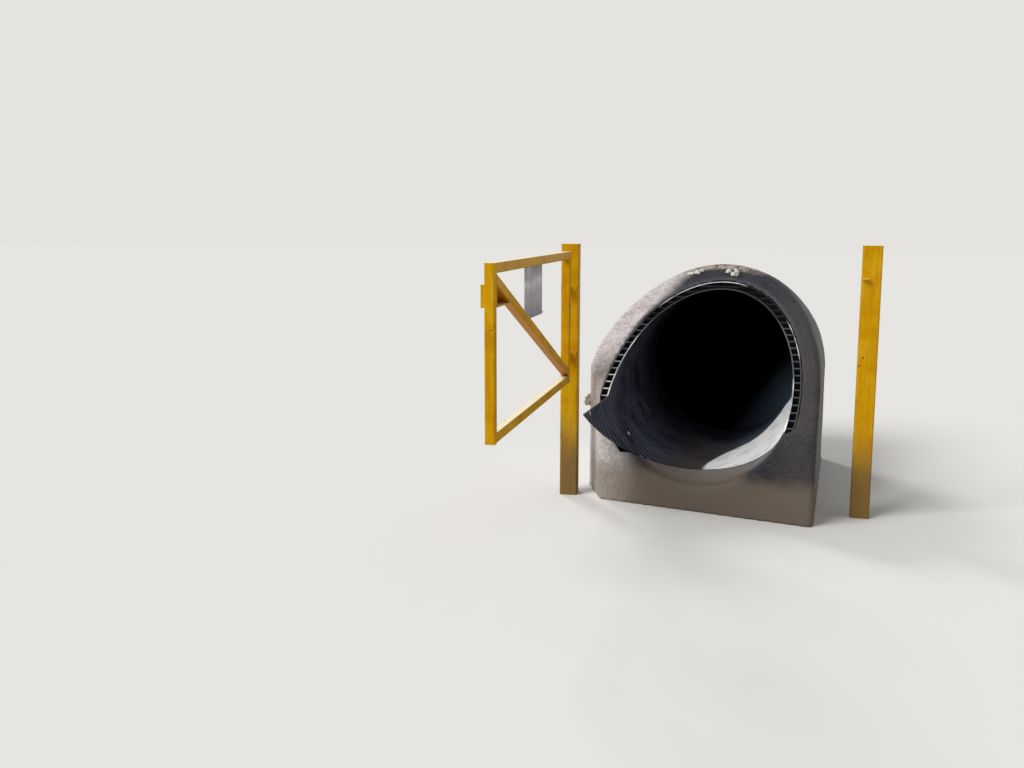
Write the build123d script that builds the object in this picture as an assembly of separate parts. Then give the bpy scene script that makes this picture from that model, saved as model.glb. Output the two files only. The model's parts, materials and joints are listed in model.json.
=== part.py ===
from build123d import *
import math
import os

# Culvert headwall: the outfall end of a closed-profile plastic culvert, its cast concrete
# collar, two square steel posts and the swing gate that hangs on the left one.
# Millimetres. +Z is up, +Y runs into the pipe, +X is to the right seen from the outfall.
# The origin is the middle of the collar's underside, below the pipe's axis.

# Pipe
pipe_bore = 1524.0
liner_thickness = 10.0
cell_depth = 52.0
skin_thickness = 8.0
web_thickness = 8.0
web_pitch = 95.0
spigot_length = 200.0
spigot_turned_down = 2.0

# Step bevel: a vertical toe, then a slope that follows the embankment. The toe is turned in
# plan, so that it stands further out on the right, and the crease above it runs lower there.
bedding_below_pipe = 150.0
toe_above_invert = 612.0
toe_turn_angle = 11.0
slope_run_per_rise = 2.0

# The pipe's own end cut leans: how far it stands in front of the toe at its two upper corners,
# and how far behind the toe at the invert, where a concrete sill fills the rest
lip_reach_left = 840.0
lip_reach_right = 4.0
lip_set_back_invert = 630.0

# Concrete collar: a round crown, a little left of the pipe's axis, over straight sides, of which
# the left one cuts off some of the crown
collar_crown_radius = 1033.0
collar_crown_left_of_axis = 45.0
collar_crown_cover = 160.0
collar_left_trim = 48.0
collar_back_cover = 150.0
collar_arris = 45.0
collar_splay_width = 190.0
collar_splay_to_crown = 220.0

# Posts
post_size = 152.0
post_wall = 6.0
post_corner = 14.0
post_height = 2210.0
post_cap_thickness = 6.0
left_post_clearance = 14.0
left_post_turn = 8.0
right_post_clearance = 271.0
post_line_behind_toe = 296.0

# Gate frame
gate_tube = 64.0
gate_tube_wall = 4.0
gate_tube_corner = 8.0
gate_height = 1115.0
gate_top_below_post_top = 62.0
gate_past_right_post = 147.0
gate_open_angle = 85.5
cap_thickness = 4.0

# Hinges
hinge_stand_off = 96.0
hinge_axis_left_of_post = 6.0
hinge_pin_diameter = 22.0
hinge_running_gap = 0.5
hinge_barrel_wall = 7.0
hinge_barrel_length = 34.0
hinge_ear_thickness = 8.0
hinge_ear_gap = 1.0
hinge_plate_width = 130.0
hinge_plate_thickness = 10.0
hinge_pin_head = 8.0
hinge_pin_head_inset = 2.0
hinge_stile_gap = 12.0
upper_hinge_below_top = 325.0
lower_hinge_above_bottom = 220.0

# Lock box in the corner between outer stile and diagonal, and the padlock's lug on the right post
lock_box_length = 326.0
lock_box_height = 142.0
lock_box_wall = 5.0
lock_box_behind_gate = 24.0
lock_box_past_rail_end = 54.0
lug_from_post_edge = 35.0
lug_below_gate_top = 200.0
lug_width = 54.0
lug_reach = 50.0
lug_thickness = 10.0
lug_hole_diameter = 16.0
lug_hole_from_tip = 18.0

# Plain sheet on the outfall side of the top rail
sign_width = 610.0
sign_height = 430.0
sign_thickness = 3.0
sign_from_outer_end = 1430.0
sign_below_rail_top = 20.0

os.makedirs("parts", exist_ok=True)

liner_inner = pipe_bore / 2
liner_outer = liner_inner + liner_thickness
skin_inner = liner_outer + cell_depth
skin_outer = skin_inner + skin_thickness
invert_z = bedding_below_pipe + skin_outer - liner_inner
axis_z = invert_z + liner_inner
toe_z = invert_z + toe_above_invert
collar_top_z = axis_z + skin_outer + collar_crown_cover
collar_crown_z = collar_top_z - collar_crown_radius
collar_left_reach = collar_crown_radius + collar_crown_left_of_axis - collar_left_trim
collar_right_reach = collar_crown_radius - collar_crown_left_of_axis
collar_crown_trimmed = collar_crown_radius - collar_left_trim
collar_flat_top_z = collar_crown_z + math.sqrt(collar_crown_radius**2 - collar_crown_trimmed**2)
collar_depth = (collar_top_z - toe_z) * slope_run_per_rise + collar_back_cover
toe_y = -collar_depth / 2
collar_back_y = collar_depth / 2
pipe_back_y = collar_back_y + spigot_length
toe_turn = math.tan(math.radians(toe_turn_angle))
pipe_front_y = toe_y - max(lip_reach_left, lip_reach_right) - skin_outer * (1 + toe_turn)
post_turn = math.radians(left_post_turn)
left_post_half = post_size / 2 * (math.cos(post_turn) + math.sin(post_turn))
left_post_x = -(collar_left_reach + left_post_clearance + left_post_half)
right_post_x = collar_right_reach + right_post_clearance + post_size / 2
post_line_y = toe_y + post_line_behind_toe


def save(shape, name):
    """Write one piece of the headwall."""
    shape.label = name
    export_step(shape, f"parts/{name}.step")


def along_pipe(section, front_y, back_y):
    """A section drawn about the pipe's axis, run from front_y to back_y."""
    plane = Plane(origin=(0, front_y, axis_z), x_dir=(1, 0, 0), z_dir=(0, 1, 0))
    return extrude(plane * section, amount=back_y - front_y)


def pipe_ring(outer_radius, inner_radius, front_y, back_y):
    """A round ring about the pipe's axis, from front_y to back_y."""
    return along_pipe(Circle(outer_radius) - Circle(inner_radius), front_y, back_y)


def toe_y_at(x):
    """Front of the turned toe at x."""
    return toe_y - toe_turn * x


def crease_z_at(x):
    """Height of the crease between toe and slope at x."""
    return toe_z - toe_turn * x / slope_run_per_rise


def kept_side(point, normal):
    """Everything on the side of a plane that its normal points to."""
    reach = 6 * collar_crown_radius
    return extrude(Plane(origin=point, z_dir=normal) * Rectangle(reach, reach), amount=reach)


def step_bevel_block():
    """All that lies behind the vertical toe and the sloping cut above it."""
    behind_toe = kept_side((0, toe_y, toe_z), (toe_turn, 1, 0))
    return behind_toe & kept_side((0, toe_y, toe_z), (0, 1, -slope_run_per_rise))


def below_crease_block():
    """All that lies below a level cut that runs forward from the crease."""
    return kept_side((0, toe_y, toe_z), (-toe_turn / slope_run_per_rise, 0, -1))


def behind_lip_block():
    """All that lies behind the leaning end cut of the pipe."""
    left_z = crease_z_at(-liner_inner)
    right_z = crease_z_at(liner_inner)
    left_x = -math.sqrt(liner_inner**2 - (left_z - axis_z) ** 2)
    right_x = math.sqrt(liner_inner**2 - (right_z - axis_z) ** 2)
    left = Vector(left_x, toe_y_at(left_x) - lip_reach_left, left_z)
    right = Vector(right_x, toe_y_at(right_x) - lip_reach_right, right_z)
    invert = Vector(0, toe_y + lip_set_back_invert, invert_z)
    normal = (right - left).cross(invert - left)
    if normal.Y < 0:
        normal = -normal
    return kept_side(invert, normal)


def is_outer_arris(edge):
    """True for an edge between the front of the collar and its outside."""
    middle = edge.position_at(0.5)
    slope_y = toe_y + (middle.Z - toe_z) * slope_run_per_rise
    on_slope = abs(middle.Y - slope_y) < 0.1
    on_toe = abs(middle.Y - toe_y_at(middle.X)) < 0.1
    return on_slope != on_toe and middle.Z > 0.1


def make_collar():
    """Cast collar with a sill in front of the pipe's lower edge, flush with the bore."""
    width = collar_left_reach + collar_right_reach
    middle_x = (collar_right_reach - collar_left_reach) / 2
    section = Pos(-collar_crown_left_of_axis, collar_crown_z) * Circle(collar_crown_radius)
    section += Pos(middle_x, collar_crown_z / 2) * Rectangle(width, collar_crown_z)
    section &= Pos(middle_x, collar_top_z / 2) * Rectangle(width, collar_top_z)
    front_y = toe_y_at(collar_right_reach)
    plane = Plane(origin=(0, front_y, 0), x_dir=(1, 0, 0), z_dir=(0, -1, 0))
    body = extrude(plane * section, amount=front_y - collar_back_y)
    body = body & step_bevel_block()
    flat_top_y = toe_y + (collar_flat_top_z - toe_z) * slope_run_per_rise
    splay_y = flat_top_y - collar_splay_to_crown
    splay_length = splay_y - toe_y_at(-collar_left_reach)
    splay_normal = (splay_length, collar_splay_width, 0)
    body = body & kept_side((-collar_left_reach, splay_y, 0), splay_normal)
    body = fillet(body.edges().filter_by(is_outer_arris), collar_arris)
    pipe = along_pipe(Circle(skin_outer), pipe_front_y, pipe_back_y) & behind_lip_block()
    return body - pipe - along_pipe(Circle(liner_inner), pipe_front_y, pipe_back_y)


def make_liner():
    """Inner wall of the pipe, which runs on in front of the toe as the thin lip."""
    tube = pipe_ring(liner_outer, liner_inner, pipe_front_y, pipe_back_y)
    kept = step_bevel_block() + below_crease_block()
    return tube & kept & behind_lip_block()


def make_skin():
    """Outer wall of the pipe, cut flush with the collar, and its turned spigot."""
    wall = pipe_ring(skin_outer, skin_inner, pipe_front_y, collar_back_y)
    wall = wall & step_bevel_block() & behind_lip_block()
    spigot_outer = skin_outer - spigot_turned_down
    return wall + pipe_ring(spigot_outer, skin_inner, collar_back_y, pipe_back_y)


def make_webs():
    """Ring webs between the two walls, cut by the slope so that the cells lie open."""
    block = step_bevel_block() & behind_lip_block()
    first_y = toe_y_at(skin_inner) + web_pitch / 2
    count = int((pipe_back_y - first_y - web_thickness) // web_pitch) + 1
    rings = []
    for i in range(count):
        front_y = first_y + i * web_pitch
        ring = pipe_ring(skin_inner, liner_outer, front_y, front_y + web_thickness)
        rings.append(ring & block)
    return Compound(children=rings)


def square_tube(size, wall, corner, length):
    """An upright square tube on the XY plane, centred on the Z axis."""
    section = RectangleRounded(size, size, corner)
    section -= RectangleRounded(size - 2 * wall, size - 2 * wall, corner - wall)
    return extrude(section, amount=length)


post_top_z = post_height - post_cap_thickness
post_front_y = post_line_y - post_size / 2


def make_post(x, turn):
    """Square steel post, open at the foot."""
    tube = square_tube(post_size, post_wall, post_corner, post_top_z)
    return Pos(x, post_line_y, 0) * Rot(0, 0, turn) * tube


def make_post_cap(x, turn):
    """Flat plate welded over the top of a post."""
    plate = extrude(RectangleRounded(post_size, post_size, post_corner), amount=post_cap_thickness)
    return Pos(x, post_line_y, post_top_z) * Rot(0, 0, turn) * plate


# The hinge axis stands in front of the left post's face, which is turned in plan. The gate is
# drawn closed, along +X from the hinge axis, and then swung open about it
hinge_reach = post_size / 2 + hinge_stand_off
hinge_offset = Vector(-hinge_axis_left_of_post, -hinge_reach, 0).rotate(Axis.Z, left_post_turn)
hinge_axis_x = left_post_x + hinge_offset.X
hinge_axis_y = post_line_y + hinge_offset.Y
gate_length = right_post_x + post_size / 2 + gate_past_right_post - hinge_axis_x
gate_top_z = post_height - gate_top_below_post_top
gate_bottom_z = gate_top_z - gate_height
pin_radius = hinge_pin_diameter / 2
barrel_inner = pin_radius + hinge_running_gap
barrel_outer = barrel_inner + hinge_barrel_wall
hinge_stile_x = barrel_outer + hinge_stile_gap + gate_tube / 2
outer_stile_x = gate_length - gate_tube / 2
stile_top_z = gate_top_z - cap_thickness
stile_bottom_z = gate_bottom_z + cap_thickness
rail_start_x = hinge_stile_x + gate_tube / 2
rail_end_x = outer_stile_x - gate_tube / 2
top_rail_z = gate_top_z - gate_tube / 2
bottom_rail_z = gate_bottom_z + gate_tube / 2


def hang(shape):
    """Carry a piece of the closed gate to the hinge axis and swing it open."""
    return Pos(hinge_axis_x, hinge_axis_y, 0) * Rot(0, 0, -gate_open_angle) * shape


def make_stile(x):
    """Upright tube at one end of the gate, between its two end caps."""
    tube = square_tube(gate_tube, gate_tube_wall, gate_tube_corner, stile_top_z - stile_bottom_z)
    return hang(Pos(x, 0, stile_bottom_z) * tube)


def make_stile_caps(x):
    """The two small plates that close a stile."""
    plate = extrude(RectangleRounded(gate_tube, gate_tube, gate_tube_corner), amount=cap_thickness)
    top = Pos(x, 0, stile_top_z) * plate
    bottom = Pos(x, 0, gate_bottom_z) * plate
    return Compound(children=[hang(top), hang(bottom)])


def gate_tube_along(start, end):
    """A gate tube from start to end, both points in the gate's own plane."""
    run = Vector(end) - Vector(start)
    plane = Plane(origin=start, x_dir=(0, 1, 0), z_dir=run)
    tube = square_tube(gate_tube, gate_tube_wall, gate_tube_corner, run.length)
    return plane * tube


def make_rail(z):
    """Level tube butted between the two stiles."""
    return hang(gate_tube_along((rail_start_x, 0, z), (rail_end_x, 0, z)))


def brace_window():
    """The opening between stiles and rails, which trims the ends of the diagonal."""
    width = rail_end_x - rail_start_x
    height = top_rail_z - bottom_rail_z - gate_tube
    centre_z = (top_rail_z + bottom_rail_z) / 2
    return Pos((rail_start_x + rail_end_x) / 2, 0, centre_z) * Box(width, 4 * gate_tube, height)


def brace_line():
    """Centre line of the diagonal, run on past both corners of the opening."""
    width = rail_end_x - rail_start_x
    height = top_rail_z - bottom_rail_z - gate_tube
    centre = Vector((rail_start_x + rail_end_x) / 2, 0, (top_rail_z + bottom_rail_z) / 2)
    half = Vector(width, 0, height - gate_tube) / 2
    reach = half + half.normalized() * 2 * gate_tube
    return centre - reach, centre + reach


def brace_underside_z(x):
    """Height of the diagonal's underside at x, in the closed gate."""
    start, end = brace_line()
    run = end - start
    centre_z = start.Z + (x - start.X) * run.Z / run.X
    return centre_z - gate_tube / 2 * run.length / run.X


def make_brace():
    """Diagonal from the outer top corner to the hinge-side bottom corner."""
    start, end = brace_line()
    return hang(gate_tube_along(start, end) & brace_window())


hinge_heights = {
    "upper": gate_top_z - upper_hinge_below_top,
    "lower": gate_bottom_z + lower_hinge_above_bottom,
}


def make_hinge_bracket(z):
    """Post plate with two ears that hold the hinge pin."""
    ear_z = hinge_barrel_length / 2 + hinge_ear_gap
    full_height = 2 * (ear_z + hinge_ear_thickness)
    reach = hinge_stand_off - hinge_plate_thickness
    plate = Box(hinge_plate_width, hinge_plate_thickness, full_height)
    bracket = Pos(0, hinge_stand_off - hinge_plate_thickness / 2, 0) * plate
    ear = Circle(barrel_outer) + Pos(0, reach / 2) * Rectangle(2 * barrel_outer, reach)
    ear = extrude(ear - Circle(pin_radius), amount=hinge_ear_thickness)
    bracket += Pos(0, 0, ear_z) * ear
    bracket += Pos(0, 0, -ear_z - hinge_ear_thickness) * ear
    return Pos(hinge_axis_x, hinge_axis_y, z) * Rot(0, 0, left_post_turn) * bracket


def make_hinge_pin(z):
    """Headed pin through the two ears."""
    half = hinge_barrel_length / 2 + hinge_ear_gap + hinge_ear_thickness
    shank = extrude(Circle(pin_radius), amount=2 * half + hinge_pin_head)
    pin = Pos(0, 0, -half - hinge_pin_head) * shank
    head = extrude(Circle(barrel_outer - hinge_pin_head_inset), amount=hinge_pin_head)
    pin += Pos(0, 0, half) * head
    return Pos(hinge_axis_x, hinge_axis_y, z) * pin


def make_hinge_barrel(z):
    """Barrel on the gate's side, with the web that welds it to the hinge stile."""
    half = hinge_barrel_length / 2
    reach = hinge_stile_x - gate_tube / 2
    section = Circle(barrel_outer) + Pos(reach / 2, 0) * Rectangle(reach, barrel_outer)
    barrel = extrude(section - Circle(barrel_inner), amount=hinge_barrel_length)
    return hang(Pos(0, 0, z - half) * barrel)


def make_lock_box():
    """Box under the diagonal that wraps behind the outer stile, open towards the right post."""
    inner_x = rail_end_x - lock_box_length
    outer_x = rail_end_x + lock_box_past_rail_end
    top_z = brace_underside_z(rail_end_x)
    bottom_z = top_z - lock_box_height
    outline = Polyline(
        (inner_x, bottom_z),
        (outer_x, bottom_z),
        (outer_x, top_z),
        (rail_end_x, top_z),
        (inner_x, brace_underside_z(inner_x)),
        close=True,
    )
    side = make_face(outline)
    back_y = -gate_tube / 2 - lock_box_behind_gate
    plane = Plane(origin=(0, back_y, 0), x_dir=(1, 0, 0), z_dir=(0, -1, 0))
    depth = gate_tube + lock_box_behind_gate
    box = extrude(plane * side, amount=-depth)
    room = extrude(plane * offset(side, -lock_box_wall), amount=-2 * depth)
    box -= Pos(0, lock_box_wall, 0) * room
    stile_room = Box(gate_tube, gate_tube, 2 * gate_height)
    return hang(box - Pos(outer_stile_x, 0, gate_top_z) * stile_room)


def make_latch_lug():
    """Level lug on the front of the right post, with the padlock's hole in it."""
    lug = Box(lug_width, lug_reach, lug_thickness)
    hole = Cylinder(lug_hole_diameter / 2, 2 * lug_thickness)
    lug -= Pos(0, lug_hole_from_tip - lug_reach / 2, 0) * hole
    lug_x = right_post_x - post_size / 2 + lug_from_post_edge
    return Pos(lug_x, post_front_y - lug_reach / 2, gate_top_z - lug_below_gate_top) * lug


def make_sign_plate():
    """Plain sheet fixed flat against the outfall side of the top rail."""
    sheet = Box(sign_width, sign_thickness, sign_height)
    sheet_y = -(gate_tube + sign_thickness) / 2
    sheet_z = gate_top_z - sign_below_rail_top - sign_height / 2
    return hang(Pos(gate_length - sign_from_outer_end, sheet_y, sheet_z) * sheet)


save(make_collar(), "concrete_collar")
save(make_liner(), "pipe_liner")
save(make_skin(), "pipe_outer_skin")
save(make_webs(), "pipe_cell_webs")
save(make_post(left_post_x, left_post_turn), "left_post")
save(make_post(right_post_x, 0), "right_post")
save(make_post_cap(left_post_x, left_post_turn), "left_post_cap")
save(make_post_cap(right_post_x, 0), "right_post_cap")
for level, height in hinge_heights.items():
    save(make_hinge_bracket(height), f"{level}_hinge_bracket")
    save(make_hinge_pin(height), f"{level}_hinge_pin")
    save(make_hinge_barrel(height), f"{level}_hinge_barrel")
save(make_stile(hinge_stile_x), "gate_hinge_stile")
save(make_stile(outer_stile_x), "gate_outer_stile")
save(make_stile_caps(hinge_stile_x), "hinge_stile_caps")
save(make_stile_caps(outer_stile_x), "outer_stile_caps")
save(make_rail(top_rail_z), "gate_top_rail")
save(make_rail(bottom_rail_z), "gate_bottom_rail")
save(make_brace(), "gate_diagonal_brace")
save(make_lock_box(), "lock_box")
save(make_latch_lug(), "latch_lug")
save(make_sign_plate(), "sign_plate")
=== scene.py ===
import bmesh
import bpy
import json
import math
from mathutils import Matrix, Vector, noise


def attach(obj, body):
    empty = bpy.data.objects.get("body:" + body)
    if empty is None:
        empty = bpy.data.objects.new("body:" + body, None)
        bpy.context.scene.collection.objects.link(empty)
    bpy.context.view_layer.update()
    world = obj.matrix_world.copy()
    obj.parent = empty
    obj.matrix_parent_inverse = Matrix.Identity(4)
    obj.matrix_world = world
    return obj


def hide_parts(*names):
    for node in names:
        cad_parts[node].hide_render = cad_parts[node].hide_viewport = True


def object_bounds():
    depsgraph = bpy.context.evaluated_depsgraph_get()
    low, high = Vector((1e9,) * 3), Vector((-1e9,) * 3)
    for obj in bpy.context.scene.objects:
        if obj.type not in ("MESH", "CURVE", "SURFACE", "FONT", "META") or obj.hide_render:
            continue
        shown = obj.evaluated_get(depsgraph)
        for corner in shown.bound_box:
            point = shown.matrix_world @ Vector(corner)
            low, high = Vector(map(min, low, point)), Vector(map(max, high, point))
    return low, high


# Culvert headwall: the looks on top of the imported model.
# Metres. +Y runs into the pipe, +Z is up, the origin is the middle of the collar's underside.
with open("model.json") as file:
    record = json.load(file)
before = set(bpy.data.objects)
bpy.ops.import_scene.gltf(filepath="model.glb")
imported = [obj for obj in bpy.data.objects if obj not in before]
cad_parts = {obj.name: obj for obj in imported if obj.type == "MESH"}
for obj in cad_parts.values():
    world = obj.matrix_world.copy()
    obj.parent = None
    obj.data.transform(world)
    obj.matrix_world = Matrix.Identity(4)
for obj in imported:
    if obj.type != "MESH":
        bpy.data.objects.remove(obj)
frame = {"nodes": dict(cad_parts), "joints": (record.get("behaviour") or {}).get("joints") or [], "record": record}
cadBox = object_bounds()
nodes = frame["nodes"]
scene = bpy.context.scene
print("frame:", len(nodes), "nodes")

# what the pieces below have in common
hinge = Vector(frame["joints"][0]["pos_m"])
openAngle = math.radians(85.5)  # the gate hangs this far open at rest
alongGate = Vector((math.cos(-openAngle), math.sin(-openAngle), 0))  # from the hinge to the free end
acrossGate = Vector((-alongGate.y, alongGate.x, 0))  # towards the pipe when the gate is closed
postTurn = math.radians(8)  # the left post stands turned by this much
pipeAxisZ = 0.982
skinOuter = 0.832
tube = 0.064  # side of the gate's square tubes
slopeAt = 2.881  # the sloping cut is the plane y = 2 z - slopeAt
slopeNormal = Vector((0, -1, 2)).normalized()
slopeOffset = slopeAt / math.sqrt(5)  # that plane's distance from the origin
toeAt = 1.217  # the toe is the plane y = -toeAt - toeTurn x
toeTurn = 0.194
creaseZ = 0.832  # the slope starts at this height in the middle
creaseFall = 0.0972  # and lower by this for every metre to the right


# ways to make a piece

def finishPiece(bm, name, body, material, smooth=True):  # mesh to object, on its body
    bmesh.ops.recalc_face_normals(bm, faces=bm.faces)
    for vert in bm.verts:  # no weld or lump stands out past the solids' box
        vert.co = [min(max(value, low), high) for value, low, high in zip(vert.co, *cadBox)]
    mesh = bpy.data.meshes.new(name)
    bm.to_mesh(mesh)
    bm.free()
    mesh.materials.append(material)
    for face in mesh.polygons:
        face.use_smooth = smooth
    piece = bpy.data.objects.new(name, mesh)
    scene.collection.objects.link(piece)
    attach(piece, body)
    return piece


def turnTo(direction, flat=(0.31, 0.2, 0.93)):  # a turn that carries Z to the direction, and X near flat
    zAxis = Vector(direction).normalized()
    yAxis = zAxis.cross(Vector(flat)).normalized()
    xAxis = yAxis.cross(zAxis)
    return Matrix((xAxis, yAxis, zAxis)).transposed().to_4x4()


def onGate(along, across, z):  # a point of the open gate, from its place in the closed one
    return Vector((hinge.x, hinge.y, 0)) + alongGate * along + acrossGate * across + Vector((0, 0, z))


def srgb(code):  # a hex colour as written, turned linear
    channels = [int(code[i:i + 2], 16) / 255 for i in (1, 3, 5)]
    linear = [c / 12.92 if c <= 0.04045 else ((c + 0.055) / 1.055) ** 2.4 for c in channels]
    return (*linear, 1.0)


under, over = 6, 7  # the two colours of a Mix node


def mainOutput(source):  # the socket that a node is read from
    if isinstance(source, bpy.types.NodeSocket):
        return source
    if source.bl_idname == "ShaderNodeMix":
        return source.outputs[2]
    if source.bl_idname == "ShaderNodeVectorMath":
        return source.outputs["Value"]
    return source.outputs[0]


def addNode(tree, kind, values=None, links=None, stops=None, **settings):
    made = tree.nodes.new("ShaderNode" + kind)
    if kind == "Mix":
        made.data_type = "RGBA"
    for name, value in settings.items():
        setattr(made, name, value)
    for socket, value in (values or {}).items():
        made.inputs[socket].default_value = srgb(value) if isinstance(value, str) else value
    for socket, source in (links or {}).items():
        tree.links.new(mainOutput(source), made.inputs[socket])
    if stops:
        ramp = made.color_ramp
        while len(ramp.elements) < len(stops):
            ramp.elements.new(0.5)
        for element, (position, color) in zip(ramp.elements, stops):
            element.position = position
            element.color = srgb(color) if isinstance(color, str) else (color, color, color, 1)
    return made


def newMaterial(name):
    material = bpy.data.materials.new(name)
    material.use_nodes = True
    tree = material.node_tree
    shader = tree.nodes["Principled BSDF"]
    place = addNode(tree, "TexCoord").outputs["Object"]
    return material, tree, shader, place


def shadeWith(tree, shader, color, roughness, height, strength):  # the three things every finish drives
    tree.links.new(mainOutput(color), shader.inputs["Base Color"])
    tree.links.new(mainOutput(roughness), shader.inputs["Roughness"])
    bump = addNode(tree, "Bump", {"Strength": strength, "Distance": 1.0}, {"Height": height})
    tree.links.new(bump.outputs["Normal"], shader.inputs["Normal"])


def perMetre(millimetres):  # texture scale for a pattern of that real size
    return 1000 / millimetres


def between(ends):  # where a mask starts and where it ends
    return {"From Min": ends[0], "From Max": ends[1]}


# cast concrete: cement paste over sand, rubbed with a float; pale as painted sunlight on the left,
# dark as painted shade towards the crown and the right, with a silt film below the water's usual line
concreteLook = {
    "sunlit": ("#B4ACA9", "#DAD2D0"),
    "paintedShade": ("#1A1B23", "#2B2C37"),
    "paintedShadeRight": "#4E4947",
    "paintedShadeSides": ("#6B6869", "#85817F"),
    "rimShade": "#4C4A4D",
    "grain": "#7A716D",
    "dust": "#A99A92",
    "pitShade": "#3F3B38",
    "silt": "#76695A",
    "mottleSize": 420,
    "blotchSize": 70,
    "sandSize": 14,  # real sand is 2 mm, drawn coarser so that it shows
    "grainSize": 11,
    "grainMask": (0.54, 0.66),
    "grainInShade": 0.28,
    "sunShadeBorder": (-0.70, -0.30),  # painted sunlight up to the first x, painted shade from the second on
    "patchDrift": 0.26,
    "slantHeights": (1.25, 1.5),
    "slantRadii": (0.83, 0.98),
    "slantBy": -0.26,
    "rightward": (0.45, 0.8),
    "sideDepths": (-0.06, 0.16),
    "sideDrift": -0.25,
    "crownMiddle": (0.045, 0, -0.941),
    "dustRadii": (0.975, 1.0),
    "dustHeights": (1.86, 1.92),
    "dustMask": (0.38, 0.56),
    "rimShadeRadii": (0.87, 0.91),
    "rimShadeDrift": 0.05,
    "pitSpacing": 95,
    "pitRadii": (0.04, 0.08),  # in parts of the spacing
    "pitsLeftOut": 0.66,
    "waterline": 0.37,
    "siltBelow": (0.24, 0.06),
    "siltDrift": 0.24,
    "siltFrontY": (-0.5, -1.0),
    "sandRelief": 0.0028,
    "blotchRelief": 0.007,
    "pitDepth": 0.006,
}


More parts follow.
